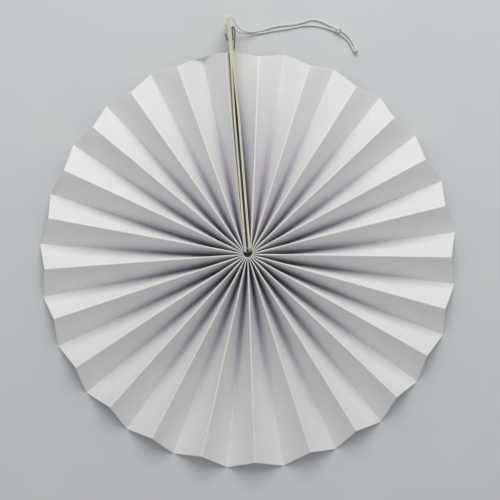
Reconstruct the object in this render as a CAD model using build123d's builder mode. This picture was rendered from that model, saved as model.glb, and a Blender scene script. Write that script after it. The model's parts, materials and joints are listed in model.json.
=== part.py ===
from build123d import *

import math
import os

# Folding paper fan, opened flat into a full round rosette, with two stiff end boards.
#
# Frame: millimetres, +Z up. The origin is the hub's centre on the plane the fan lies on, and
# the two end boards run out from the hub along +Y. Seen from above, the folds are numbered
# anticlockwise, from the ridge at the left board (0) to the valley at the right board.

# ---- driving dimensions ------------------------------------------------------------------

# the folded sheet
rim_radius = 150.0  # hub centre to the outer end of a valley fold
ridge_setback = 6.5  # the pack's end was cut on a slant, so ridge folds end this much sooner
hub_radius = 3.5  # the hole that the folds' inner ends leave
hub_lean = 2.2  # how far the hub's top leans towards the boards
pleat_width = 24.0  # fold to fold across one panel, and the height of the boards
free_panels = 49  # panels between the two that are glued on the boards
paper_thickness = 0.2
lift_share = 0.6  # share of a fold's lift off the table that the next fold keeps
end_panel_splay = 2.4  # how far the left end panel's top stands off its board at the rim

# the end boards
board_thickness = 1.3
board_overhang = 20.0  # how far the boards reach past the rim
board_gap = 1.6  # the slot between the boards, from the hub outwards
gap_open_inset = 50.0  # where the slot starts to close, from the rim
gap_closed_inset = 14.0  # where the boards meet, from the rim
board_corner = 2.0  # rounding of the boards' outer corners
neat_corner = 0.5  # the left board's inner top corner
curled_corner = 4.0  # the right board's worn inner top corner

# cord, thread and wire
cord_diameter = 1.4
cord_hole = 2.6  # diameter of the hole through both boards
cord_hole_inset = 5.0  # from the boards' outer ends
thread_diameter = 0.9
thread_ring_radius = 3.3  # so that it bites into the panels' inner ends
thread_height = 22.4  # its middle, above the plane the fan lies on
wire_diameter = 0.9
wire_hole_inset = 15.7  # from the boards' outer ends
wire_height = 17.0  # above the plane the fan lies on, and so above the cord
wire_clearance = 0.1  # all round the wire in its hole
wire_bend_radius = 1.0  # where the wire leaves its hole, at its centre line
wire_hook_radius = 0.6  # where its loose end turns back
wire_arm_radius = 2.0  # the easy bend below the hook
knot_mouth = 3.1  # the knots' end faces, where the doubled cord comes out
knot_length = 5.4
knot_width = 4.2
end_knot_length = 4.0
end_knot_width = 3.6

# ---- worked out from them ----------------------------------------------------------------

half_paper = paper_thickness / 2
half_cord = cord_diameter / 2
panel_slant = pleat_width - paper_thickness  # fold to fold along the paper's middle surface
mid_height = pleat_width / 2
seam_half_width = board_gap / 2 + board_thickness + half_paper
seam_half_width_at_rim = board_thickness + half_paper
hub_seam_angle = math.asin(seam_half_width / hub_radius)
rim_seam_angle = math.asin(seam_half_width_at_rim / rim_radius)
hub_pitch_angle = (2 * math.pi - 2 * hub_seam_angle) / free_panels
rim_pitch_angle = (2 * math.pi - 2 * rim_seam_angle) / free_panels
hub_pitch = 2 * hub_radius * math.sin(hub_pitch_angle / 2)
rim_pitch = 2 * rim_radius * math.sin(rim_pitch_angle / 2)
board_start = hub_radius * math.cos(hub_seam_angle)
board_reach = rim_radius + board_overhang
gap_open_radius = rim_radius - gap_open_inset
gap_closed_radius = rim_radius - gap_closed_inset
cord_hole_y = board_reach - cord_hole_inset
wire_hole_y = board_reach - wire_hole_inset

# shares of the way from hub to rim at which the sheet's section is drawn, closer together
# near the hub, where the panels stand steeply
near_stations = [hub_radius * 2**step for step in range(4)]
far_stations = [0.4 * rim_radius, gap_open_radius, gap_closed_radius, rim_radius]
stations = [
    (radius - hub_radius) / (rim_radius - hub_radius) for radius in near_stations + far_stations
]


# ---- the fold lines ----------------------------------------------------------------------


def along(start: float, end: float, share: float) -> float:
    """The value at a share of the way from start to end."""
    return start + (end - start) * share


def half_gap(y: float) -> float:
    """Half the slot between the boards at a distance y from the hub's centre."""
    closing = (gap_closed_radius - y) / (gap_closed_radius - gap_open_radius)
    return board_gap / 2 * min(1.0, max(0.0, closing))


def board_outside(share: float) -> tuple[float, float]:
    """The boards' outer face at a share of the way to the rim, as its distance x and y."""
    y = along(board_start, rim_radius, share)
    return half_gap(y) + board_thickness, y


def fold_height(share: float) -> float:
    """Ridge above valley: what is left of the panel's slant at the folds' spacing there."""
    pitch = along(hub_pitch, rim_pitch, share)
    return math.sqrt(panel_slant**2 - pitch**2)


def fold_point(fold: int, share: float) -> Vector:
    """A fold's point in the paper's middle surface, before the hub's lean.

    Even folds are ridges and odd folds are valleys. In plan each fold is straight, and the
    first and the last run along the boards' outer faces.
    """
    is_ridge = fold % 2 == 0
    outer_radius = rim_radius - (ridge_setback if is_ridge else 0)
    lift = (panel_slant - fold_height(share)) * lift_share**fold
    z = half_paper + lift + (fold_height(share) if is_ridge else 0)
    if fold in (0, free_panels):
        side = -1 if fold == 0 else 1
        splay = end_panel_splay * share if fold == 0 else 0
        x = board_outside(share)[0] + half_paper + splay
        return Vector(side * x, along(board_start, outer_radius, share), z)
    hub_angle = -hub_seam_angle - fold * hub_pitch_angle
    rim_angle = -rim_seam_angle - fold * rim_pitch_angle
    x = along(hub_radius * math.sin(hub_angle), outer_radius * math.sin(rim_angle), share)
    y = along(hub_radius * math.cos(hub_angle), outer_radius * math.cos(rim_angle), share)
    return Vector(x, y, z)


def leaning(point: Vector, share: float) -> Vector:
    """A point moved towards the boards by the hub's lean, which grows upwards and inwards."""
    return point + Vector(0, hub_lean * (1 - share) * point.Z / pleat_width, 0)


def section(corners: list[Vector], share: float) -> Face:
    """The flat face with these corners, with the hub's lean applied."""
    return Face(Wire.make_polygon([leaning(corner, share) for corner in corners]))


def panel_section(fold: int, share: float) -> Face:
    """One free panel's section: a thin strip from ridge to valley with blunt creases.

    The strip is cut upright at both folds, so that neighbours share those faces. A crease is
    blunted where its outside would rise past half the paper's thickness.
    """
    folds = (fold, fold + 1)
    ridge, valley = (fold_point(number, share) for number in sorted(folds, key=lambda n: n % 2))
    slope = math.atan2(fold_height(share), along(hub_pitch, rim_pitch, share))
    inside = half_paper / math.cos(slope)
    flat = half_paper * math.tan(slope / 2)
    outwards = Vector(valley.X - ridge.X, valley.Y - ridge.Y, 0).normalized()
    up = Vector(0, 0, 1)
    corners = [
        ridge + up * half_paper,
        ridge + up * half_paper + outwards * flat,
        valley + up * inside,
        valley - up * half_paper,
        valley - up * half_paper - outwards * flat,
        ridge - up * inside,
    ]
    return section(corners, share)


def left_end_section(share: float) -> Face:
    """The left end panel's section, from the foot of its board up to the first ridge."""
    foot_x, foot_y = board_outside(share)
    ridge = fold_point(0, share)
    corners = [
        Vector(-foot_x, foot_y, 0),
        Vector(-foot_x - paper_thickness, foot_y, 0),
        Vector(ridge.X - half_paper, ridge.Y, pleat_width),
        Vector(ridge.X + half_paper, ridge.Y, pleat_width),
    ]
    return section(corners, share)


# ---- the binding thread ------------------------------------------------------------------

thread_plane = Plane(origin=(0, hub_lean * thread_height / pleat_width, thread_height))

with BuildPart(thread_plane) as hub_thread:
    Torus(thread_ring_radius, thread_diameter / 2)

# ---- the folded sheet --------------------------------------------------------------------

free_strip = [
    loft([panel_section(fold, share) for share in stations], ruled=True, clean=False)
    for fold in range(free_panels)
]
left_end_panel = loft([left_end_section(share) for share in stations], ruled=True, clean=False)

# the right end panel lies flat on its board, and its rim end has the pack's slanted cut
face_points = [board_outside(share) for share in stations]
rim_cut = Plane(
    origin=(0, rim_radius, 0),
    x_dir=(1, 0, 0),
    z_dir=(0, pleat_width, ridge_setback),
)

with BuildPart() as right_end_panel:
    with BuildSketch():
        with BuildLine():
            Polyline(
                *face_points,
                *[(x + paper_thickness, y) for x, y in reversed(face_points)],
                close=True,
            )
        make_face()
    extrude(amount=pleat_width)
    split(bisect_by=rim_cut, keep=Keep.BOTTOM)

with BuildPart() as pleated_paper:
    add([*free_strip, left_end_panel, right_end_panel.part], clean=False)
    add(hub_thread.part, mode=Mode.SUBTRACT, clean=False)

# ---- the end boards ----------------------------------------------------------------------


def board_outline(side: int) -> list[tuple[float, float]]:
    """A board's outline in plan, on the side where x has this sign."""
    outside = face_points + [(board_thickness, board_reach)]
    inside = [(x - board_thickness, y) for x, y in reversed(outside)]
    return [(side * x, y) for x, y in outside + inside]


def end_board(side: int, inner_corner: float) -> Part:
    """A board on edge, with its two holes and the rounding of its inner top corner."""
    across = Rot(Y=90)
    with BuildPart() as board:
        with BuildSketch():
            with BuildLine():
                Polyline(*board_outline(side), close=True)
            make_face()
        extrude(amount=pleat_width)
        ends = board.edges().filter_by(Axis.X).group_by(Axis.Y)
        fillet(ends[-1], radius=board_corner)
        fillet(ends[0].sort_by(Axis.Z)[-1], radius=inner_corner)
        with Locations(Pos(0, cord_hole_y, mid_height) * across):
            Cylinder(cord_hole / 2, 4 * board_thickness, mode=Mode.SUBTRACT)
        with Locations(Pos(0, wire_hole_y, wire_height) * across):
            Cylinder(wire_diameter / 2 + wire_clearance, 4 * board_thickness, mode=Mode.SUBTRACT)
        add(hub_thread.part, mode=Mode.SUBTRACT)
    return board.part


left_board = end_board(-1, neat_corner)
right_board = end_board(1, curled_corner)

# ---- the wire tie that pins the boards together ------------------------------------------

wire_off_board = board_thickness + wire_diameter / 2 + wire_clearance
wire_route = [
    (-wire_off_board - 1.3, wire_hole_y + 4.4),
    (-wire_off_board - 0.3, wire_hole_y),
    (wire_off_board + 0.3, wire_hole_y),
    (wire_off_board + 0.1, wire_hole_y + 9.0),
    (wire_off_board + 1.3, wire_hole_y + 9.8),
    (wire_off_board + 1.9, wire_hole_y + 3.9),
    (wire_off_board + 0.2, wire_hole_y - 6.9),
]
wire_bends = 2 * [wire_bend_radius] + 2 * [wire_hook_radius] + [wire_arm_radius]

with BuildPart() as wire_tie:
    with BuildLine(Plane.XY.offset(wire_height)) as wire_line:
        FilletPolyline(*wire_route, radius=wire_bends)
    with BuildSketch(wire_line.line ^ 0):
        Circle(wire_diameter / 2)
    sweep()

# ---- the hanging cord, doubled through the boards and knotted ------------------------------

# the half that comes out of the left board and goes round the boards' ends
left_cord_route = [
    (-board_thickness, cord_hole_y, mid_height),
    (-3.4, 165.5, 12.0),
    (-3.5, 169.2, 12.0),
    (-2.4, 173.4, 12.0),
    (1.4, 174.8, 11.8),
    (3.8, 171.2, 11.0),
    (5.2, 167.0, 9.3),
    (8.6, 163.6, 6.6),
    (14.5, 162.5, 3.4),
    (23.0, 163.6, 1.0),
    (31.0, 165.8, 0.8),
    (38.4, 166.6, 0.8),
    (47.0, 166.4, 0.8),
    (54.6, 167.7, 0.8),
    (60.5, 169.2, 0.8),
    (66.0, 167.8, 0.8),
    (72.4, 163.9, 1.2),
    (78.8, 160.0, 2.1),
    (84.0, 156.6, 1.1),
    (88.2, 151.2, 0.8),
    (90.8, 143.2, 1.7),
]
# the half that comes out of the right board, under the other one and then beside it
right_cord_route = [
    (board_thickness, cord_hole_y, mid_height),
    (3.6, 164.2, 11.6),
    (5.0, 161.4, 9.6),
    (8.0, 159.6, 6.4),
    (14.6, 159.6, 2.6),
    (23.6, 160.9, 0.8),
    (33.0, 162.8, 0.8),
    (42.5, 163.3, 0.8),
    (49.9, 164.7, 0.8),
    (56.0, 165.2, 0.8),
    (61.8, 164.6, 0.8),
    (67.2, 163.1, 0.8),
    (72.8, 161.0, 1.2),
    (78.0, 158.2, 2.1),
    (82.6, 154.4, 1.1),
    (86.6, 149.8, 0.8),
    (89.1, 142.9, 1.7),
]


def corner_radii(route: list[tuple[float, float, float]]) -> list[float]:
    """Each corner's bend radius: 0.45 of its shorter run over the tangent of half its turn."""
    points = [Vector(*point) for point in route]
    runs = [end - start for start, end in zip(points, points[1:])]
    return [
        0.45 * min(first.length, second.length)
        / math.tan(math.radians(first.get_angle(second)) / 2)
        for first, second in zip(runs, runs[1:])
    ]


def cord_half(name: str, route: list[tuple[float, float, float]]) -> Part:
    """Half of the cord: a tube along straight runs joined by tangent arcs."""
    radii = corner_radii(route)
    with BuildPart() as tube:
        with BuildLine() as line:
            FilletPolyline(*route, radius=radii)
        with BuildSketch(line.line ^ 0):
            Circle(half_cord)
        sweep()
    length = line.wires()[0].length
    print(name, "radii", [round(radius, 1) for radius in radii])
    print(name, "length", round(length, 1), "volume", round(tube.part.volume, 2),
          "section x length", round(math.pi * half_cord**2 * length, 2))
    return tube.part


hanging_cord_left = cord_half("hanging_cord_left", left_cord_route)
hanging_cord_right = cord_half("hanging_cord_right", right_cord_route)


def knot(centre: tuple[float, float, float], turn: float, length: float, width: float) -> Part:
    """A pulled-tight knot round both halves of the cord: a barrel lying at an angle in plan."""
    left_end, right_end = (-length / 2, knot_mouth / 2), (length / 2, knot_mouth / 2)
    plane = Plane(origin=centre, x_dir=Vector(1, 0, 0).rotate(Axis.Z, turn), z_dir=(0, 0, 1))
    with BuildPart() as body:
        with BuildSketch(plane):
            with BuildLine():
                ThreePointArc(left_end, (0, width / 2), right_end)
                Polyline(right_end, (length / 2, 0), (-length / 2, 0), left_end)
            make_face()
        revolve(axis=Axis(plane.origin, plane.x_dir))
        for half in (hanging_cord_left, hanging_cord_right):
            add(half, mode=Mode.SUBTRACT)
    return body.part


cord_knot = knot((78.5, 159.15, knot_width / 2), -32.0, knot_length, knot_width)
cord_end_knot = knot((89.9, 143.5, end_knot_width / 2), -75.0, end_knot_length, end_knot_width)

# ---- the files -----------------------------------------------------------------------------

pieces = {
    "pleated_paper": pleated_paper.part,
    "left_board": left_board,
    "right_board": right_board,
    "hub_thread": hub_thread.part,
    "wire_tie": wire_tie.part,
    "hanging_cord_left": hanging_cord_left,
    "hanging_cord_right": hanging_cord_right,
    "cord_knot": cord_knot,
    "cord_end_knot": cord_end_knot,
}

os.makedirs("parts", exist_ok=True)
for name, piece in pieces.items():
    piece.label = name
    export_step(piece, f"parts/{name}.step")
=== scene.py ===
import json
import logging
import math
from dataclasses import dataclass, field
from enum import Enum

import bpy
import numpy as np
from mathutils import Matrix, Vector

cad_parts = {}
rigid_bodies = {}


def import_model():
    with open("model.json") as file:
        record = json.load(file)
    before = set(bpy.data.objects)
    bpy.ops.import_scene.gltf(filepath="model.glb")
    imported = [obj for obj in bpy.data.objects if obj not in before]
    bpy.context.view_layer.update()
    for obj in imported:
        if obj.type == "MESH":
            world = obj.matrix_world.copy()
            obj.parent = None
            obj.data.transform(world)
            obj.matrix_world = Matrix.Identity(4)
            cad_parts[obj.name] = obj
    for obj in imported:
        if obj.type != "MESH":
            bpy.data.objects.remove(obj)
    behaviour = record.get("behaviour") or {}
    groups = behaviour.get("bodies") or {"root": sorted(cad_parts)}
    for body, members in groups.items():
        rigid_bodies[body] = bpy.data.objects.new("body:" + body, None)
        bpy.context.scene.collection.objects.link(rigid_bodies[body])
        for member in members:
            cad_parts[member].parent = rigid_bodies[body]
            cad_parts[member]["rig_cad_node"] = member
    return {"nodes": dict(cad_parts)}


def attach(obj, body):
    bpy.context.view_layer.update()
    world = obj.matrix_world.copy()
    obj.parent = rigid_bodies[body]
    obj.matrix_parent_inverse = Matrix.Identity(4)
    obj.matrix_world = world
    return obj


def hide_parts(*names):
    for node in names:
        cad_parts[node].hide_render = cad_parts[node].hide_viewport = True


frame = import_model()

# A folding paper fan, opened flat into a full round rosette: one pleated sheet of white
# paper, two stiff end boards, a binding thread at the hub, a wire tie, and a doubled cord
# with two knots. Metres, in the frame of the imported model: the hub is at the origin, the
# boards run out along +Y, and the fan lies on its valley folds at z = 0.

LOG = logging.getLogger("fan")
MM = 0.001
BODY = "root"
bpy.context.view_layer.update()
Points = np.ndarray
UP = np.array([0, 0, 1.0])
TINY = 1e-9  # decides the side of an upright face's normal
BLUNT_TIP = 0.02  # a closed tip's least radius, as a share of the tube's
PLIES = 3  # of the cord
PLY_CORE = 0.86  # the cord's radius in the groove between two plies, as a share
PLY_RELIEF = 0.16  # and what a ply adds to that
BENT_FOLD = 2  # the fold with the bent corner, in panels from the left board's foot


# ---- meshes worked out on a grid -----------------------------------------------------------


def grid_object(
    name: str, points: Points, wrap_u: bool = False, wrap_v: bool = False
) -> bpy.types.Object:
    """Makes a mesh object from a two-parameter grid of points.

    Each cell of the grid becomes one four-sided face. Where a direction wraps, the last row
    or column joins the first one again, so that a tube or ring closes.

    Args:
        name: the object's name.
        points: an array of rows x columns x 3, in metres.
        wrap_u: whether the last row joins the first.
        wrap_v: whether the last column joins the first.

    Returns:
        The new object, linked to the scene and smooth shaded.
    """
    rows, columns = points.shape[:2]
    index = np.arange(rows * columns).reshape(rows, columns)
    if wrap_u:
        index = np.vstack([index, index[:1]])
    if wrap_v:
        index = np.hstack([index, index[:, :1]])
    corners = [index[:-1, :-1], index[:-1, 1:], index[1:, 1:], index[1:, :-1]]
    faces = np.stack([corner.ravel() for corner in corners], axis=1)
    return mesh_object(name, points.reshape(-1, 3), faces.tolist())


def mesh_object(name: str, points: Points, faces: list[list[int]]) -> bpy.types.Object:
    """Makes a smooth-shaded mesh object at the origin.

    Args:
        name: the object's name.
        points: its vertices, an array of n x 3, in metres.
        faces: each face's vertex numbers, anticlockwise from outside.

    Returns:
        The new object, linked to the scene.
    """
    mesh = bpy.data.meshes.new(name)
    mesh.from_pydata(points.tolist(), [], faces)
    mesh.validate()
    mesh.polygons.foreach_set("use_smooth", np.ones(len(mesh.polygons), dtype=bool))
    mesh.update()
    thing = bpy.data.objects.new(name, mesh)
    bpy.context.scene.collection.objects.link(thing)
    return thing


def tube_points(path: Points, radius: Points, up: Points) -> Points:
    """Carries a round or lobed profile along a path.

    At each path point the profile lies in the plane across the path. Its two directions are
    the path's tangent crossed with a fixed up direction, and the tangent crossed with that.

    Args:
        path: the centre line, n x 3.
        radius: the profile's radius at each path point and angle, n x m.
        up: a direction that the path never follows.

    Returns:
        The surface's points, n x m x 3, turning anticlockwise seen along the path.
    """
    tangent = np.gradient(path, axis=0)
    tangent /= np.linalg.norm(tangent, axis=1, keepdims=True)
    side = np.cross(tangent, up)
    side /= np.linalg.norm(side, axis=1, keepdims=True)
    over = np.cross(side, tangent)
    angle = np.linspace(0, 2 * np.pi, radius.shape[1], endpoint=False)
    ring = side[:, None] * np.cos(angle)[:, None] + over[:, None] * np.sin(angle)[:, None]
    return path[:, None] + ring * radius[:, :, None]


def rounded_ends(count: int, share: float) -> Points:
    """Shapes a tube's closed tips: a quarter circle at each end and 1 between.

    Args:
        count: how many path points the tube has.
        share: how much of the path each tip takes.

    Returns:
        A radius factor for each path point.
    """
    position = np.linspace(0, 1, count)
    nearest = np.minimum(position, 1 - position) / share
    return np.sqrt(1 - (1 - np.clip(nearest, 0, 1)) ** 2)


def value_noise(u: Points, v: Points, seed: int, cells: int = 64) -> Points:
    """Smooth seeded noise from -1 to 1 over two parameters.

    A table of random values is read at the four whole numbers round each (u, v), and the
    four are mixed by the smooth step 3t^2 - 2t^3.

    Args:
        u: the first parameter, where 1 is the size of a wave.
        v: the second one, of the same shape.
        seed: which table is used.
        cells: the table's size, after which the noise repeats.

    Returns:
        The noise, in the parameters' shape.
    """
    table = np.random.default_rng(seed).uniform(-1, 1, (cells, cells))
    column, row = np.floor(u).astype(int), np.floor(v).astype(int)
    tu, tv = u - column, v - row
    tu, tv = tu * tu * (3 - 2 * tu), tv * tv * (3 - 2 * tv)
    left, right = column % cells, (column + 1) % cells
    here, above = row % cells, (row + 1) % cells
    low = table[here, left] * (1 - tu) + table[here, right] * tu
    high = table[above, left] * (1 - tu) + table[above, right] * tu
    return low * (1 - tv) + high * tv


# ---- materials -----------------------------------------------------------------------------


def linear(colour: str) -> tuple[float, float, float, float]:
    """Turns an sRGB colour into a linear one, by the sRGB standard's own curve.

    Args:
        colour: the colour as a hex text such as "#e3e3e8".

    Returns:
        Linear red, green and blue, with alpha 1.
    """
    parts = [int(colour[i:i + 2], 16) / 255 for i in (1, 3, 5)]
    turned = [
        part / 12.92 if part <= 0.04045 else ((part + 0.055) / 1.055) ** 2.4 for part in parts
    ]
    return (*turned, 1.0)


def add_node(
    tree: bpy.types.NodeTree, kind: str, links: dict | None = None, **settings
) -> bpy.types.Node:
    """Adds a node with its settings and links.

    Args:
        tree: the material's node tree.
        kind: the node's type name.
        links: for each input, by name or number, the socket or the plain value it takes.
        settings: the node's own properties.

    Returns:
        The new node.
    """
    node = tree.nodes.new(kind)
    for name, value in settings.items():
        setattr(node, name, value)
    for name, value in (links or {}).items():
        socket = node.inputs[name]
        if isinstance(value, bpy.types.NodeSocket):
            tree.links.new(value, socket)
        else:
            socket.default_value = value
    return node


def ramp(
    tree: bpy.types.NodeTree, factor: bpy.types.NodeSocket, stops: list[tuple[float, str]]
) -> bpy.types.NodeSocket:
    """Adds a colour ramp.

    Args:
        tree: the material's node tree.
        factor: the socket that the ramp reads.
        stops: its stops, each a position and an sRGB hex colour.

    Returns:
        The ramp's colour socket.
    """
    node = add_node(tree, "ShaderNodeValToRGB", {"Fac": factor})
    elements = node.color_ramp.elements
    while len(elements) < len(stops):
        elements.new(1.0)
    for element, (position, colour) in zip(elements, stops):
        element.position = position
        element.color = linear(colour)
    return node.outputs["Color"]


COLOUR_STOPS = (0.32, 0.5, 0.68)  # where a finish's three colours lie on its noise
ROUGHNESS_SWING = 0.06  # how much the grain changes the gloss, either way
RELIEF_STRENGTH = 0.6


@dataclass(frozen=True)
class Finish:
    """A surface's real material: its colour stops, gloss, and grain at a real size.

    The finish shows two scales of colour change, a mottle and a fine grain, and the grain
    also raises the surface.
    """

    name: str
    colours: tuple[str, str, str]  # darkest, usual and palest
    roughness: float
    mottle_mm: float  # size of the slow colour changes
    grain_mm: float  # size of the fibres or scratches
    grain_height_mm: float
    stretch: tuple[float, float, float] = (1.0, 1.0, 1.0)  # the grain's scale along each axis
    metallic: float = 0.0
    ior: float = 1.5
    sheen: float = 0.0

    def make(self) -> bpy.types.Material:
        """Builds the material's nodes.

        Returns:
            The finished material.
        """
        material = bpy.data.materials.new(self.name)
        material.use_nodes = True
        tree = material.node_tree
        tree.nodes.clear()
        place = add_node(tree, "ShaderNodeTexCoord").outputs["Object"]
        along = add_node(tree, "ShaderNodeMapping", {"Vector": place, "Scale": self.stretch})
        mottle = add_node(tree, "ShaderNodeTexNoise", {
            "Vector": place, "Scale": 1 / (self.mottle_mm * MM), "Detail": 3.0, "Roughness": 0.55})
        grain = add_node(tree, "ShaderNodeTexNoise", {
            "Vector": along.outputs["Vector"], "Scale": 1 / (self.grain_mm * MM), "Detail": 4.0})
        mixed = add_node(tree, "ShaderNodeMath", {
            0: mottle.outputs["Fac"], 1: grain.outputs["Fac"]}, operation="ADD")
        half = add_node(tree, "ShaderNodeMath", {0: mixed.outputs[0], 1: 0.5}, operation="MULTIPLY")
        stops = list(zip(COLOUR_STOPS, self.colours))
        colour = self.colour(tree, ramp(tree, half.outputs[0], stops))
        rough = add_node(tree, "ShaderNodeMapRange", {
            "Value": grain.outputs["Fac"], "To Min": self.roughness - ROUGHNESS_SWING,
            "To Max": self.roughness + ROUGHNESS_SWING})
        bump = add_node(tree, "ShaderNodeBump", {
            "Height": grain.outputs["Fac"], "Strength": RELIEF_STRENGTH,
            "Distance": self.grain_height_mm * MM})
        shader = add_node(tree, "ShaderNodeBsdfPrincipled", {
            "Base Color": colour, "Roughness": rough.outputs["Result"],
            "Normal": bump.outputs["Normal"], "Metallic": self.metallic, "IOR": self.ior,
            "Sheen Weight": self.sheen})
        add_node(tree, "ShaderNodeOutputMaterial", {"Surface": shader.outputs["BSDF"]})
        return material

    def colour(
        self, tree: bpy.types.NodeTree, plain: bpy.types.NodeSocket
    ) -> bpy.types.NodeSocket:
        """Gives the surface's colour, which a finish of its own kind may change."""
        return plain


@dataclass(frozen=True)
class BleachedPaper(Finish):
    """Uncoated bleached paper, calendered smooth and creased by machine.

    It is a plain white in the open. Along its ridges it carries a painted highlight, and deep in
    the folds near the hub a painted violet shade.
    """

    # a painted highlight along the ridges
    painted_highlight_colour: str = "#fafaf8"
    # a painted violet shade deep in the folds near the hub, and how much of it is mixed in
    painted_fold_shade_colour: str = "#c3b6d2"
    painted_fold_shade_share: float = 0.9

    def colour(
        self, tree: bpy.types.NodeTree, plain: bpy.types.NodeSocket
    ) -> bpy.types.NodeSocket:
        """Mixes in the folds' painted shade and the ridges' painted highlight, by attributes.

        Args:
            tree: the material's node tree.
            plain: the paper's colour in the open.

        Returns:
            The mixed colour's socket.
        """
        # painted violet shade: the sheet's attribute is high deep in the folds and near the hub
        painted_fold_shade = add_node(tree, "ShaderNodeAttribute", attribute_name="painted_fold_shade")
        amount = add_node(tree, "ShaderNodeMath", {
            0: painted_fold_shade.outputs["Fac"], 1: self.painted_fold_shade_share}, operation="MULTIPLY")
        painted_shade_mix = add_node(tree, "ShaderNodeMix", {
            0: amount.outputs[0], 6: plain, 7: linear(self.painted_fold_shade_colour)}, data_type="RGBA")
        # painted highlight: the sheet's crease attribute is high beside the ridges
        crease = add_node(tree, "ShaderNodeAttribute", attribute_name="crease")
        painted_highlight_mix = add_node(tree, "ShaderNodeMix", {
            0: crease.outputs["Fac"], 6: painted_shade_mix.outputs[2], 7: linear(self.painted_highlight_colour)},
            data_type="RGBA")
        return painted_highlight_mix.outputs[2]


@dataclass(frozen=True)
class PressedBoard(Finish):
    """Greyboard pressed from layers of pulp, cut with a blade and left bare at its edges.

    The cut edge is cream with fine lines along it, where the layers lie on each other, and
    it has olive and brown stains towards its end.
    """

    layer_mm: float = 0.22
    layer_stretch: tuple[float, float, float] = (1.0, 0.02, 0.05)
    layer_colours: tuple[str, str] = ("#b5b096", "#f1ecda")
    layer_share: float = 0.35
    stain: str = "#aab08f"
    stain_mm: float = 3.0
    stain_start_mm: float = 90.0  # from the hub
    stain_end_mm: float = 172.0
    stain_share: float = 0.55

    def colour(
        self, tree: bpy.types.NodeTree, plain: bpy.types.NodeSocket
    ) -> bpy.types.NodeSocket:
        """Adds the lines of the layers, and the stains near the boards' outer ends.

        Args:
            tree: the material's node tree.
            plain: the cut edge's colour.

        Returns:
            The mixed colour's socket.
        """
        place = add_node(tree, "ShaderNodeTexCoord").outputs["Object"]
        squeezed = add_node(tree, "ShaderNodeMapping", {
            "Vector": place, "Scale": self.layer_stretch})
        layers = add_node(tree, "ShaderNodeTexNoise", {
            "Vector": squeezed.outputs["Vector"], "Scale": 1 / (self.layer_mm * MM), "Detail": 2.0})
        stops = list(zip((0.35, 0.6), self.layer_colours))
        lined = add_node(tree, "ShaderNodeMix", {
            0: self.layer_share, 6: plain, 7: ramp(tree, layers.outputs["Fac"], stops)},
            data_type="RGBA")
        reach = add_node(tree, "ShaderNodeSeparateXYZ", {"Vector": place})
        far = add_node(tree, "ShaderNodeMapRange", {
            "Value": reach.outputs["Y"], "From Min": self.stain_start_mm * MM,
            "From Max": self.stain_end_mm * MM, "To Min": 0.0, "To Max": self.stain_share})
        blotch = add_node(tree, "ShaderNodeTexNoise", {
            "Vector": squeezed.outputs["Vector"], "Scale": 1 / (self.stain_mm * MM),
            "Detail": 3.0})
        amount = add_node(tree, "ShaderNodeMath", {
            0: far.outputs["Result"], 1: blotch.outputs["Fac"]}, operation="MULTIPLY")
        stained = add_node(tree, "ShaderNodeMix", {
            0: amount.outputs[0], 6: lined.outputs[2], 7: linear(self.stain)}, data_type="RGBA")
        return stained.outputs[2]


class Surface(Enum):
    """The object's finishes, one for each material slot of the record."""

    WHITE_PAPER = BleachedPaper(
        name="white_paper_creased", colours=("#e9e9e8", "#eeeeec", "#f3f3f1"), roughness=0.86,
        mottle_mm=28.0, grain_mm=0.9, grain_height_mm=0.02)
    CREAM_BOARD = PressedBoard(
        name="pressed_board_cut_edge", colours=("#d3cfb6", "#e4dec8", "#ece6d4"),
        roughness=0.88, mottle_mm=9.0, grain_mm=0.35, grain_height_mm=0.04,
        stretch=(1.0, 0.3, 1.0))
    THREAD = Finish(
        name="twisted_cotton_thread", colours=("#a3ae9f", "#b9c0b2", "#cdd2c6"), roughness=0.9,
        mottle_mm=2.0, grain_mm=0.15, grain_height_mm=0.05, sheen=0.2)
    STEEL_WIRE = Finish(
        name="drawn_steel_wire", colours=("#56565a", "#6a6a6e", "#7c7c80"), roughness=0.42,
        mottle_mm=3.0, grain_mm=0.12, grain_height_mm=0.01, stretch=(1.0, 0.15, 1.0),
        metallic=0.9)
    WHITE_CORD = Finish(
        name="twisted_cotton_cord", colours=("#cfcfc4", "#e2e2da", "#efefe9"), roughness=0.9,
        mottle_mm=3.0, grain_mm=0.18, grain_height_mm=0.06, sheen=0.3)


@dataclass
class Workshop:
    """Makes each finish once and puts it on pieces."""

    made: dict[Surface, bpy.types.Material] = field(default_factory=dict)

    def dress(self, piece: bpy.types.Object, surface: Surface) -> bpy.types.Object:
        """Gives a piece its material.

        Args:
            piece: a new piece or a CAD node.
            surface: the finish that it takes.

        Returns:
            The same piece.
        """
        if surface not in self.made:
            self.made[surface] = surface.value.make()
        piece.data.materials.clear()
        piece.data.materials.append(self.made[surface])
        return piece

    def finished(self, piece: bpy.types.Object, surface: Surface, *nodes: str) -> bpy.types.Object:
        """Dresses a new piece, rides it on the body and puts it in place of its CAD nodes.

        Args:
            piece: the new piece.
            surface: the finish that it takes.
            nodes: the CAD nodes that it stands for.

        Returns:
            The same piece.
        """
        self.dress(piece, surface)
        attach(piece, BODY)
        if nodes:
            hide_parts(*nodes)
        LOG.info("%s: %d vertices, %s", piece.name, len(piece.data.vertices), surface.name)
        return piece


# ---- the pleated sheet ---------------------------------------------------------------------


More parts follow.
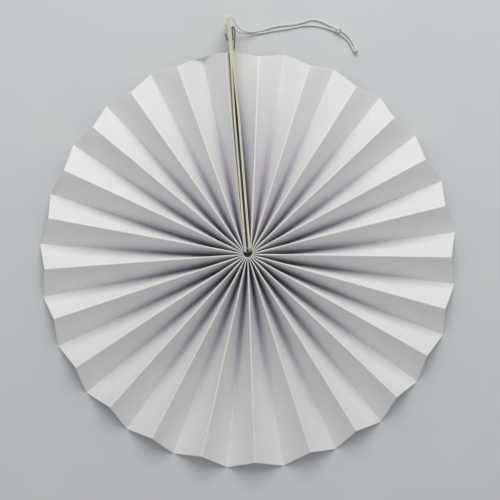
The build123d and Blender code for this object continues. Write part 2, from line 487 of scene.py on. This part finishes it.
@dataclass(frozen=True)
class SheetGrid:
    """Where each point of the sheet's grid lies, by its row and its column."""

    share: Points  # for each row, the way from hub to rim: rows x 1
    position: Points  # for each column, in panels from the left board's foot
    panels: int

    @property
    def panel(self) -> Points:
        """The number of each column's panel."""
        return np.minimum(self.position.astype(int), self.panels - 1)

    @property
    def within(self) -> Points:
        """How far across its panel each column is, from 0 to 1."""
        return self.position - self.panel

    @property
    def to_fold(self) -> Points:
        """How far each column is from its nearest fold, as a share of a panel."""
        return np.minimum(self.within, 1 - self.within)

    @property
    def by_ridge(self) -> Points:
        """Whether each column's nearest fold is a ridge."""
        return np.rint(self.position).astype(int) % 2 == 1

    @property
    def free(self) -> Points:
        """1 for the panels that stand free between their neighbours, and 0 for the rest."""
        return ((self.panel > 1) & (self.panel < self.panels - 1)).astype(float)


@dataclass
class PleatedSheet:
    """One sheet of paper in machine-made pleats, spread round a full circle.

    Even folds are ridges and odd folds are valleys. In plan each fold is a straight line from
    the hub to the rim, and the panels between them are as wide as the boards are high.
    """

    rim_radius: float = 150 * MM
    ridge_setback: float = 6.5 * MM  # ridge folds end this much sooner than valley folds
    hub_radius: float = 3.5 * MM
    hub_lean: float = 2.2 * MM  # how far the hub's top leans towards the boards
    pleat_width: float = 24 * MM
    free_panels: int = 49
    paper_thickness: float = 0.2 * MM
    lift_share: float = 0.6  # share of a fold's lift off the table that the next fold keeps
    end_panel_splay: float = 2.4 * MM  # how far its top stands off the board at the rim
    glued_share: float = 0.72  # how much of the left end panel's height is stuck to its board
    peel_power: float = 1.5  # how gently it leaves the board above that
    board_thickness: float = 1.3 * MM
    board_gap: float = 1.6 * MM
    gap_open_radius: float = 100 * MM
    gap_closed_radius: float = 136 * MM
    # the folds' roundness
    crease_radius: float = 0.5 * MM
    crease_sharpening: float = 0.65  # share of that radius that is lost on the way to the rim
    crease_limit: float = 0.3  # the radius's greatest share of the folds' spacing
    swell_length: float = 2 * MM  # how far down a panel the fold's roundness fades
    # the fan's unevenness: degrees that the spacing at the rim drifts by, at a few folds
    spacing_drift: tuple[tuple[int, float], ...] = (
        (0, 0.0), (4, 0.9), (9, 0.9), (14, 0.1), (21, 0.1), (26, 1.5), (33, 1.2), (41, 0.5),
        (49, 0.0))
    angle_error: float = 0.0035  # of each fold at the rim, in radians
    length_error: float = 0.35 * MM
    bulge_height: float = 0.35 * MM
    wave_height: float = 0.45 * MM
    wave_length: float = 26 * MM
    waves_per_panel: float = 2.3
    wave_power: float = 0.7  # how the waves grow towards the rim
    fine_wave_height: float = 0.12 * MM
    fine_wave_counts: tuple[float, float] = (2.7, 2.9)  # fine waves in one wave, both ways
    wander_height: float = 0.25 * MM  # how far the folds wander sideways
    wander_length: float = 34 * MM
    # the bent corner
    corner_width: float = 4.2 * MM  # along its fold
    corner_spread: float = 9.5 * MM  # and to each side of it
    corner_angle: float = math.radians(75)
    # the paper's painted highlight along the ridges, and its painted shade in the folds
    painted_highlight_width: float = 0.5 * MM
    painted_highlight_strength: float = 0.8
    painted_shade_powers: tuple[float, float] = (1.5, 1.6)  # from rim to hub, and from ridge to valley
    # the grid
    rows: int = 78  # from hub to rim
    tip_rows: int = 12  # of which this many lie close together at the rim
    tip_share: float = 0.955
    row_crowding: float = 1.25
    across: tuple[float, ...] = (
        0, 0.008, 0.02, 0.05, 0.14, 0.3, 0.5, 0.7, 0.86, 0.95, 0.98, 0.992)
    seed: int = 7

    def half_gap(self, y: Points) -> Points:
        """Half the slot between the boards at a distance y from the hub's centre."""
        closing = (self.gap_closed_radius - y) / (self.gap_closed_radius - self.gap_open_radius)
        return self.board_gap / 2 * np.clip(closing, 0, 1)

    def row_shares(self) -> Points:
        """Spaces the rows from hub to rim, closer together at both ends."""
        inner = self.tip_share * np.linspace(0, 1, self.rows - self.tip_rows) ** self.row_crowding
        return np.append(inner, np.linspace(self.tip_share, 1, self.tip_rows + 1)[1:])

    def fold_lines(self, share: Points) -> Points:
        """The centre line of every fold, with the two board feet's line and top line added.

        Hub and rim ends lie on two circles at an even spacing, and each fold is the straight
        line between its ends. The spacing at the rim drifts by the degrees that spacing_drift
        gives at a few folds, as in a fan that was spread by hand, and every fold is a little
        off besides. The folds' height follows from the panel's width and their spacing, by
        Pythagoras.

        Args:
            share: shares of the way from hub to rim, n values.

        Returns:
            An array of n x folds x 3, from the left board's foot to the right board's top.
        """
        half_paper = self.paper_thickness / 2
        slant = self.pleat_width - self.paper_thickness
        seam_hub = math.asin(
            (self.board_gap / 2 + self.board_thickness + half_paper) / self.hub_radius)
        seam_rim = math.asin((self.board_thickness + half_paper) / self.rim_radius)
        step_hub = 2 * (math.pi - seam_hub) / self.free_panels
        step_rim = 2 * (math.pi - seam_rim) / self.free_panels
        pitch_hub = 2 * self.hub_radius * math.sin(step_hub / 2)
        pitch_rim = 2 * self.rim_radius * math.sin(step_rim / 2)
        rise = np.sqrt(slant ** 2 - (pitch_hub + (pitch_rim - pitch_hub) * share) ** 2)[:, None]
        fold = np.arange(self.free_panels + 1)
        ridge = fold % 2 == 0
        inside = (fold > 1) & (fold < self.free_panels - 1)
        random = np.random.default_rng(self.seed)
        uneven = random.normal(0, self.angle_error, fold.size) * inside
        uneven -= np.radians(np.interp(fold, *zip(*self.spacing_drift)))
        outer = self.rim_radius - self.ridge_setback * ridge
        outer = outer + random.normal(0, self.length_error, fold.size)
        start, end = -seam_hub - fold * step_hub, -seam_rim - fold * step_rim + uneven
        t = share[:, None]
        x = self.hub_radius * np.sin(start) * (1 - t) + outer * np.sin(end) * t
        y = self.hub_radius * np.cos(start) * (1 - t) + outer * np.cos(end) * t
        z = half_paper + (slant - rise) * self.lift_share ** fold + rise * ridge
        board_y = self.hub_radius * math.cos(seam_hub) * (1 - share) + self.rim_radius * share
        top_y = board_y - self.ridge_setback * share
        face = self.half_gap(board_y) + self.board_thickness + half_paper
        x[:, 0] = -face - self.end_panel_splay * share
        x[:, -1] = face
        y[:, 0] = top_y
        y[:, -1] = board_y
        foot = np.stack([-face, board_y, np.full_like(face, half_paper)], axis=1)
        top = np.stack([face, top_y, np.full_like(face, slant)], axis=1)
        folds = np.stack([x, y, z], axis=2)
        return np.concatenate([foot[:, None], folds, top[:, None]], axis=1)

    def peel(self, grid: SheetGrid) -> Points:
        """How far the left end panel's glue holds it back towards its board, along X.

        The panel's straight slope is taken away, and what stands off above the glued part
        grows by a power, so that the panel leaves its board in a bend.

        Args:
            grid: the sheet's grid.

        Returns:
            A distance for each point of the grid, nothing past the first panel.
        """
        past = np.clip((grid.position - self.glued_share) / (1 - self.glued_share), 0, 1)
        held = (grid.position - past ** self.peel_power) * (grid.position < 1)
        return self.end_panel_splay * grid.share * held

    def normals(self, lines: Points, grid: SheetGrid) -> Points:
        """Each grid point's direction square to its panel, always upwards.

        Args:
            lines: the fold lines.
            grid: the sheet's grid.

        Returns:
            Unit vectors, rows x columns x 3.
        """
        normal = np.cross(lines[:, 1:] - lines[:, :-1], np.gradient(lines, axis=0)[:, :-1])
        normal /= np.linalg.norm(normal, axis=2, keepdims=True)
        normal = normal[:, grid.panel]
        return normal * np.sign(normal[:, :, 2:] + TINY)

    def waves(self, grid: SheetGrid) -> Points:
        """The paper's bulges and waves: half a sine wave across each free panel.

        Args:
            grid: the sheet's grid.

        Returns:
            A height for each point of the grid, nothing at the folds.
        """
        random = np.random.default_rng(self.seed + 1)
        bulge = random.normal(0, self.bulge_height, grid.panels)[grid.panel]
        shape = (grid.share.size, grid.position.size)
        u = np.broadcast_to(grid.position * self.waves_per_panel, shape)
        v = np.broadcast_to(grid.share * self.rim_radius / self.wave_length, shape)
        wave = value_noise(u, v, self.seed) * self.wave_height
        fine_u, fine_v = self.fine_wave_counts
        fine = value_noise(u * fine_u, v * fine_v, self.seed + 2)
        wave += fine * self.fine_wave_height
        arch = np.sin(np.pi * grid.within) * grid.free
        return (bulge * grid.share + wave * grid.share ** self.wave_power) * arch

    def swell(self, lines: Points, grid: SheetGrid) -> Points:
        """The folds' roundness: beside a fold the panel swells out by the bend's radius.

        It swells quickly at first, as 1 - exp(-2 d / radius), and fades as exp(-d / length).

        Args:
            lines: the fold lines.
            grid: the sheet's grid.

        Returns:
            A height for each point of the grid, up beside ridges and down beside valleys.
        """
        middle = self.free_panels // 2
        step = lines[:, middle + 1, :2] - lines[:, middle, :2]
        limit = self.crease_limit * np.linalg.norm(step, axis=1)[:, None]
        radius = self.crease_radius * (1 - self.crease_sharpening * grid.share)
        bend = np.minimum(radius, limit)
        away = grid.to_fold * self.pleat_width
        swell = bend * (1 - np.exp(-2 * away / bend)) * np.exp(-away / self.swell_length)
        return swell * grid.free * np.where(grid.by_ridge, 1, -1)

    def wander(self, grid: SheetGrid) -> Points:
        """How far the folds wander sideways, by slow noise that grows towards the rim.

        Args:
            grid: the sheet's grid.

        Returns:
            A distance along X for each point of the grid.
        """
        shape = (grid.share.size, grid.position.size)
        u = np.broadcast_to(grid.position / 2, shape)
        v = np.broadcast_to(grid.share * self.rim_radius / self.wander_length, shape)
        noise = value_noise(u, v, self.seed + 5)
        return noise * self.wander_height * grid.free * grid.share

    def bent_corner(self, points: Points, position: Points) -> Points:
        """Bends up the small dog-eared corner at the first valley's tip.

        The strip beyond a slanted crease line, widest at the fold and gone two fifths of a
        panel to each side, turns up through the corner's angle: it rises by the sine of that angle
        for each step out, and falls short of its flat reach by one minus the cosine.

        Args:
            points: the grid, rows x columns x 3.
            position: each column's place, in panels from the left board's foot.

        Returns:
            The grid with the corner bent.
        """
        off_fold = np.abs(position - BENT_FOLD) * self.pleat_width
        slant = self.ridge_setback / self.pleat_width
        strip = self.corner_width * (1 - off_fold / self.corner_spread)
        out = np.linalg.norm(points[:, :, :2], axis=2)
        crease = self.rim_radius - slant * off_fold - strip
        past = np.clip(out - crease, 0, None) * (strip > 0)
        inwards = points[:, :, :2] / out[:, :, None]
        points[:, :, :2] -= inwards * (past * (1 - math.cos(self.corner_angle)))[:, :, None]
        points[:, :, 2] += past * math.sin(self.corner_angle)
        return points

    def mark(self, sheet: bpy.types.Object, grid: SheetGrid) -> None:
        """Stores the painted highlight and the painted shade that the paper's finish reads.

        crease, the painted highlight, is high beside the ridges, and the painted fold shade is
        high low down in the folds and near the hub.

        Args:
            sheet: the sheet.
            grid: the sheet's grid.
        """
        # painted highlight beside the ridges
        fading = np.exp(-grid.to_fold * self.pleat_width / self.painted_highlight_width)
        crease = np.where(grid.by_ridge, fading, 0) * self.painted_highlight_strength
        # painted shade, highest low down in the folds and near the hub
        rising = np.floor(grid.position).astype(int) % 2 == 0
        below = np.where(rising, 1 - grid.within, grid.within)
        inwards, downwards = self.painted_shade_powers
        painted_fold_shade = (1 - grid.share) ** inwards * below ** downwards
        for name, values in (("crease", np.tile(crease, self.rows)), ("painted_fold_shade", painted_fold_shade.ravel())):
            layer = sheet.data.attributes.new(name, "FLOAT", "POINT")
            layer.data.foreach_set("value", values.astype(np.float32))

    def build(self) -> bpy.types.Object:
        """Makes the sheet's surface.

        Across a panel the surface is the straight line between its two folds. The panels'
        waves and the folds' roundness raise it, the glue holds the left end panel, and the
        whole leans towards the boards at the hub.

        Returns:
            The sheet, with its paper's thickness.
        """
        share = self.row_shares()
        lines = self.fold_lines(share)
        panels = lines.shape[1] - 1
        across = np.array(self.across)
        position = np.append((np.arange(panels)[:, None] + across).ravel(), panels)
        grid = SheetGrid(share[:, None], position, panels)
        first, last = lines[:, :-1, None], lines[:, 1:, None]
        flat = first + (last - first) * across[:, None]
        points = np.concatenate([flat.reshape(self.rows, -1, 3), lines[:, -1:]], axis=1)
        points[:, :, 0] += self.peel(grid)
        height = self.waves(grid) + self.swell(lines, grid)
        points = points + self.normals(lines, grid) * height[:, :, None]
        points[:, :, 0] += self.wander(grid)
        points = self.bent_corner(points, position)
        points[:, :, 1] += self.hub_lean * (1 - grid.share) * points[:, :, 2] / self.pleat_width
        points[:, :, 2] = np.maximum(points[:, :, 2], self.paper_thickness / 2)
        sheet = grid_object("folded_paper_sheet", points)
        self.mark(sheet, grid)
        thick = sheet.modifiers.new("paper_thickness", "SOLIDIFY")
        thick.thickness = self.paper_thickness
        thick.offset = 0
        return sheet

    def dress(self, shop: Workshop, sheet: bpy.types.Object) -> bpy.types.Object:
        """Finishes the sheet as white paper."""
        return shop.finished(sheet, Surface.WHITE_PAPER, "pleated_paper")


# ---- boards and wire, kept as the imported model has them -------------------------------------


@dataclass
class KeptNodes:
    """Nodes whose shape is right as it is, and that only take a new finish."""

    nodes: tuple[str, ...]
    surface: Surface

    def build(self) -> list[bpy.types.Object]:
        """Finds the nodes' objects."""
        return [frame["nodes"][node] for node in self.nodes]

    def dress(self, shop: Workshop, kept: list[bpy.types.Object]) -> None:
        """Gives each of them its finish."""
        for thing in kept:
            shop.dress(thing, self.surface)
            LOG.info("%s: kept, %s", thing.name, self.surface.name)


@dataclass
class EndBoards(KeptNodes):
    """The two stiff boards that carry the sheet's ends."""

    nodes: tuple[str, ...] = ("left_board", "right_board")
    surface: Surface = Surface.CREAM_BOARD


@dataclass
class WireTie(KeptNodes):
    """The wire that pins the boards together."""

    nodes: tuple[str, ...] = ("wire_tie",)
    surface: Surface = Surface.STEEL_WIRE


# ---- cord, knots and thread ----------------------------------------------------------------


def ply_radius(radius: float, angle: Points) -> Points:
    """The radius round a three-ply cord, least in the grooves between its plies.

    Args:
        radius: the cord's own.
        angle: the angle round the cord, less how far the plies have turned there.

    Returns:
        A radius for each angle.
    """
    return radius * (PLY_CORE + PLY_RELIEF * np.abs(np.cos(angle * PLIES / 2)))


@dataclass
class TwistedCord:
    """Half of the doubled hanging cord: a limp cord of three plies, laid by hand."""

    name: str
    node: str
    route: list[tuple[float, float, float]]  # in millimetres, from its hole to its cut end
    length: float
    diameter: float = 1.4 * MM
    ply_pitch: float = 3.4 * MM
    around: int = 18
    path: Points | None = None  # the centre line, once it is built

    def centre_line(self) -> Points:
        """Reads the smooth line through the route from a NURBS spline of order 3.

        Returns:
            Evenly spaced points along it, a quarter of a diameter apart.
        """
        curve = bpy.data.curves.new(self.name + "_line", "CURVE")
        curve.dimensions = "3D"
        curve.resolution_u = 24
        spline = curve.splines.new("NURBS")
        spline.points.add(len(self.route) - 1)
        route = np.array(self.route) * MM
        spline.points.foreach_set("co", np.column_stack([route, np.ones(len(route))]).ravel())
        spline.order_u = 3
        spline.use_endpoint_u = True
        carrier = bpy.data.objects.new(curve.name, curve)
        mesh = bpy.data.meshes.new_from_object(carrier)
        line = np.zeros(len(mesh.vertices) * 3)
        mesh.vertices.foreach_get("co", line)
        line = line.reshape(-1, 3)
        bpy.data.objects.remove(carrier)
        bpy.data.curves.remove(curve)
        bpy.data.meshes.remove(mesh)
        steps = np.linalg.norm(np.diff(line, axis=0), axis=1)
        run = np.concatenate([[0], np.cumsum(steps)])
        even = np.linspace(0, run[-1], round(run[-1] / (self.diameter / 4)))
        return np.column_stack([np.interp(even, run, line[:, axis]) for axis in range(3)])

    def build(self) -> bpy.types.Object:
        """Makes the cord's surface along its line, with its plies and its closed tips.

        Returns:
            The cord.
        """
        self.path = self.centre_line()
        count = len(self.path)
        step = np.linalg.norm(np.diff(self.path, axis=0), axis=1).mean()
        angle = np.linspace(0, 2 * np.pi, self.around, endpoint=False)
        turn = 2 * np.pi * np.arange(count) * step / self.ply_pitch
        tips = rounded_ends(count, 0.5 * self.diameter / (step * count))
        radius = ply_radius(self.diameter / 2, angle - turn[:, None])
        radius = radius * np.maximum(tips, BLUNT_TIP)[:, None]
        return grid_object(self.name, tube_points(self.path, radius, UP), wrap_v=True)

    def dress(self, shop: Workshop, cord: bpy.types.Object) -> bpy.types.Object:
        """Finishes the cord as white cotton."""
        return shop.finished(cord, Surface.WHITE_CORD, self.node)

    def declare(self, cord: bpy.types.Object, pieces: list[bpy.types.Object]) -> None:
        """Takes the cord and the pieces on it, and does nothing with them.

        Args:
            cord: the cord's piece; not used.
            pieces: the separate pieces on it; not used.
        """


@dataclass
class OverhandKnot:
    """A pulled-tight overhand knot in the doubled cord."""

    name: str
    node: str
    centre: tuple[float, float, float]  # in millimetres
    turn: float  # degrees in plan from +X
    length: float
    width: float
    cord_radius: float = 0.7 * MM
    ply_turns: int = 9
    along: int = 120
    around: int = 14

    def build(self) -> bpy.types.Object:
        """Makes the knot as a tube along a trefoil.

        The trefoil is x = sin t + 2 sin 2t, y = cos t - 2 cos 2t, z = -sin 3t, stretched to
        the knot's own length, width and height.

        Returns:
            The knot.
        """
        t = np.linspace(0, 2 * np.pi, self.along, endpoint=False)
        shape = np.column_stack([
            np.sin(t) + 2 * np.sin(2 * t), np.cos(t) - 2 * np.cos(2 * t), -np.sin(3 * t)])
        low, high = shape.min(0), shape.max(0)
        room = np.array([self.length, self.width, self.width]) - 2 * self.cord_radius
        path = (shape - (low + high) / 2) / (high - low) * room
        angle = np.linspace(0, 2 * np.pi, self.around, endpoint=False)
        radius = ply_radius(self.cord_radius, angle - self.ply_turns * t[:, None])
        wrapped = np.vstack([path[-1:], path, path[:1]])
        radii = np.vstack([radius[-1:], radius, radius[:1]])
        points = tube_points(wrapped, radii, UP)[1:-1]
        knot = grid_object(self.name, points, wrap_u=True, wrap_v=True)
        turned = Matrix.Rotation(math.radians(self.turn), 4, "Z")
        knot.data.transform(Matrix.Translation(Vector(self.centre) * MM) @ turned)
        return knot

    def dress(self, shop: Workshop, knot: bpy.types.Object) -> bpy.types.Object:
        """Finishes the knot as the cord's own cotton."""
        return shop.finished(knot, Surface.WHITE_CORD, self.node)


@dataclass
class FrayedTips:
    """The loose fibres of the cord's two cut ends, past the end knot."""

    centre: tuple[float, float, float] = (90.2, 142.4, 1.5)  # in millimetres
    heading: float = -75  # degrees in plan from +X
    heading_spread: float = 26
    fibres: int = 26
    length: float = 3.2 * MM
    radius: float = 0.07 * MM
    climb: tuple[float, float] = (-0.1, 0.5)  # the range of their slopes at the knot
    droop: float = 0.8  # share of that slope that is lost by the tip
    bend: float = 0.35  # how far they turn aside, in radians
    taper: float = 0.7  # share of the radius that is lost by the tip
    least_height: float = 0.05 * MM
    sides: int = 4
    stations: int = 6
    seed: int = 11

    def build(self) -> bpy.types.Object:
        """Makes every fibre as a thin tapered tube along a bent line.

        A fibre starts at the knot, goes out at its own seeded angle, and droops with the
        square of the distance.

        Returns:
            All the fibres as one piece.
        """
        random = np.random.default_rng(self.seed)
        heading = random.normal(self.heading, self.heading_spread, self.fibres) * np.pi / 180
        climb = random.uniform(*self.climb, self.fibres)
        reach = self.length * random.uniform(0.5, 1.0, self.fibres)
        bend = random.normal(0, self.bend, self.fibres)
        share = np.linspace(0, 1, self.stations)
        radius = self.radius * (1 - self.taper * share)[:, None] * np.ones(self.sides)
        tubes = []
        for number in range(self.fibres):
            away = share * reach[number]
            yaw = heading[number] + bend[number] * share
            rise = climb[number] * away * (1 - self.droop * share)
            line = np.column_stack([np.cos(yaw) * away, np.sin(yaw) * away, rise])
            tubes.append(tube_points(line + np.array(self.centre) * MM, radius, UP))
        points = np.array(tubes)
        points[:, :, :, 2] = np.maximum(points[:, :, :, 2], self.least_height)
        ring = np.arange(points[..., 0].size).reshape(points.shape[:3])
        wrapped = np.concatenate([ring, ring[:, :, :1]], axis=2)
        corners = [wrapped[:, :-1, :-1], wrapped[:, :-1, 1:], wrapped[:, 1:, 1:],
                   wrapped[:, 1:, :-1]]
        sides = np.stack([corner.ravel() for corner in corners], axis=1).tolist()
        caps = ring[:, 0, ::-1].tolist() + ring[:, -1].tolist()
        return mesh_object("frayed_cord_tips", points.reshape(-1, 3), sides + caps)

    def dress(self, shop: Workshop, tips: bpy.types.Object) -> bpy.types.Object:
        """Finishes the fibres as the cord's own cotton."""
        return shop.finished(tips, Surface.WHITE_CORD)


@dataclass
class BindingThread:
    """The thread that draws the sheet's inner ends together, as a closed ring of two plies."""

    ring_radius: float = 3.3 * MM
    thread_radius: float = 0.45 * MM
    height: float = 22.4 * MM
    lean: float = 2.05 * MM  # the hub's lean at that height
    twists: int = 9
    core: float = 0.82  # the radius in the groove between the plies, as a share
    along: int = 160
    around: int = 10

    def build(self) -> bpy.types.Object:
        """Makes the ring: a circle that carries a round profile with a turning groove.

        Returns:
            The thread.
        """
        t = np.linspace(0, 2 * np.pi, self.along, endpoint=False)[:, None]
        angle = np.linspace(0, 2 * np.pi, self.around, endpoint=False)[None]
        plies = np.abs(np.cos(angle - self.twists * t))
        radius = self.thread_radius * (self.core + (1 - self.core) * plies)
        out = self.ring_radius + radius * np.cos(angle)
        points = np.stack([
            out * np.cos(t), self.lean + out * np.sin(t), self.height + radius * np.sin(angle)],
            axis=2)
        return grid_object("binding_thread_ring", points[::-1], wrap_u=True, wrap_v=True)

    def dress(self, shop: Workshop, thread: bpy.types.Object) -> bpy.types.Object:
        """Finishes the ring as grey-green thread."""
        return shop.finished(thread, Surface.THREAD, "hub_thread")


# ---- floor, light and camera ---------------------------------------------------------------


@dataclass
class Studio:
    """A pale table, one soft window-like light from the boards' end, and the camera above."""

    boards_turn: float = math.radians(4.67)  # from the boards to the view's up, clockwise
    camera_tilt: float = math.radians(3.2)
    camera_distance: float = 0.7
    aim_right: float = 1.44 * MM
    aim_up: float = 5.4 * MM
    lens_mm: float = 70.1
    sensor_mm: float = 36
    light_direction: float = math.radians(4.0)
    light_height: float = math.radians(46)
    light_distance: float = 1.25
    light_size: float = 1.0
    light_watts: float = 9.3
    light_colour: tuple[float, float, float] = (1.0, 0.995, 0.98)
    sky_colour: str = "#f2f3f6"
    sky_strength: float = 0.43
    table_reach: float = 1.6
    table_mottle: float = 60 * MM
    table_colours: tuple[str, str] = ("#d6d9db", "#d9dcdd")

    @property
    def view_up(self) -> Vector:
        """The direction on the table that is up in the view."""
        return Vector((math.sin(self.boards_turn), math.cos(self.boards_turn), 0))

    @property
    def view_right(self) -> Vector:
        """The direction on the table that is right in the view."""
        return Vector((math.cos(self.boards_turn), -math.sin(self.boards_turn), 0))

    def camera(self) -> None:
        """Places the camera above the fan, leaning back by its tilt."""
        aim = self.view_right * self.aim_right + self.view_up * self.aim_up
        upright = Vector((0, 0, math.cos(self.camera_tilt)))
        back = upright - self.view_up * math.sin(self.camera_tilt)
        lens = bpy.data.cameras.new("camera")
        lens.lens = self.lens_mm
        lens.sensor_width = self.sensor_mm
        camera = bpy.data.objects.new("camera", lens)
        axes = (self.view_right, back.cross(self.view_right), back)
        turned = Matrix(axes).transposed().to_4x4()
        camera.matrix_world = Matrix.Translation(aim + back * self.camera_distance) @ turned
        bpy.context.scene.collection.objects.link(camera)
        bpy.context.scene.camera = camera

    def light(self) -> None:
        """Adds the window-like area light and the even light of the room."""
        aside = math.sin(self.light_direction) * self.view_right
        towards = math.cos(self.light_direction) * self.view_up + aside
        above = Vector((0, 0, math.sin(self.light_height)))
        away = towards * math.cos(self.light_height) + above
        lamp = bpy.data.lights.new("window", "AREA")
        lamp.shape = "SQUARE"
        lamp.size = self.light_size
        lamp.energy = self.light_watts
        lamp.color = self.light_colour
        window = bpy.data.objects.new("window", lamp)
        window.location = away * self.light_distance
        window.rotation_euler = away.to_track_quat("Z", "Y").to_euler()
        bpy.context.scene.collection.objects.link(window)
        world = bpy.data.worlds.new("room")
        world.use_nodes = True
        background = world.node_tree.nodes["Background"]
        background.inputs["Color"].default_value = linear(self.sky_colour)
        background.inputs["Strength"].default_value = self.sky_strength
        bpy.context.scene.world = world

    def table(self) -> None:
        """Makes the table: a plain surface with a faint mottle."""
        ends = np.linspace(-self.table_reach, self.table_reach, 3)
        x, y = np.meshgrid(ends, ends)
        top = grid_object("table", np.stack([x, y, np.zeros_like(x)], axis=2))
        material = bpy.data.materials.new("painted_table_top")
        material.use_nodes = True
        tree = material.node_tree
        tree.nodes.clear()
        place = add_node(tree, "ShaderNodeTexCoord").outputs["Object"]
        mottle = add_node(tree, "ShaderNodeTexNoise", {
            "Vector": place, "Scale": 1 / self.table_mottle, "Detail": 2.0})
        colour = ramp(tree, mottle.outputs["Fac"], list(zip((0.3, 0.7), self.table_colours)))
        shader = add_node(tree, "ShaderNodeBsdfPrincipled", {
            "Base Color": colour, "Roughness": 0.7})
        add_node(tree, "ShaderNodeOutputMaterial", {"Surface": shader.outputs["BSDF"]})
        top.data.materials.append(material)

    def build(self) -> None:
        """Builds the whole studio, with the plain view transform."""
        self.camera()
        self.light()
        self.table()
        bpy.context.scene.view_settings.view_transform = "Standard"


# the two halves of the cord, in millimetres, each from its hole in a board to its cut end
LEFT_ROUTE = [
    (-1.3, 165.0, 12.0), (-2.4, 165.7, 12.0), (-2.5, 168.9, 12.0), (-2.0, 172.4, 12.0),
    (1.2, 173.6, 11.8), (3.7, 170.6, 11.0), (5.2, 167.0, 9.3), (8.6, 163.6, 6.6),
    (14.5, 162.5, 3.4), (23.0, 163.6, 1.0), (31.0, 165.8, 0.8), (38.4, 166.6, 0.8),
    (47.0, 166.4, 0.8), (54.6, 167.7, 0.8), (60.5, 169.2, 0.8), (66.0, 167.8, 0.8),
    (72.4, 163.9, 1.2), (78.8, 160.0, 2.1), (84.0, 156.6, 1.1), (88.2, 151.2, 0.8),
    (90.8, 143.2, 1.7),
]
RIGHT_ROUTE = [
    (1.3, 165.0, 12.0), (3.4, 164.4, 11.4), (5.0, 162.8, 9.0), (8.2, 161.9, 5.0),
    (14.8, 161.9, 1.6), (23.6, 162.0, 0.8), (33.0, 163.4, 0.8), (42.5, 163.6, 0.8),
    (49.9, 164.7, 0.8), (56.0, 165.2, 0.8), (61.8, 164.6, 0.8), (67.2, 163.1, 0.8),
    (72.8, 161.0, 1.2), (78.0, 158.2, 2.1), (82.6, 154.4, 1.1), (86.6, 149.8, 0.8),
    (89.1, 142.9, 1.7),
]


def main() -> None:
    """Builds the studio and then each sub-assembly in order, and reports each piece."""
    logging.basicConfig(level=logging.INFO, format="%(name)s: %(message)s")
    shop = Workshop()
    Studio().build()

    cords = [
        TwistedCord("hanging_cord_left_twisted", "hanging_cord_left", LEFT_ROUTE, 123 * MM),
        TwistedCord("hanging_cord_right_twisted", "hanging_cord_right", RIGHT_ROUTE, 103 * MM),
    ]
    strands = [cord.dress(shop, cord.build()) for cord in cords]
    knots = [
        OverhandKnot("overhand_knot", "cord_knot", (78.5, 159.15, 2.1), -32.0,
                     5.4 * MM, 4.2 * MM),
        OverhandKnot("overhand_end_knot", "cord_end_knot", (89.9, 143.5, 1.8), -75.0,
                     4.0 * MM, 3.6 * MM),
    ]
    ends = [part.dress(shop, part.build()) for part in (*knots, FrayedTips())]
    cords[0].declare(strands[0], ends)
    cords[1].declare(strands[1], [])

    for part in (PleatedSheet(), BindingThread(), EndBoards(), WireTie()):
        part.dress(shop, part.build())


if __name__ == "__main__":
    main()
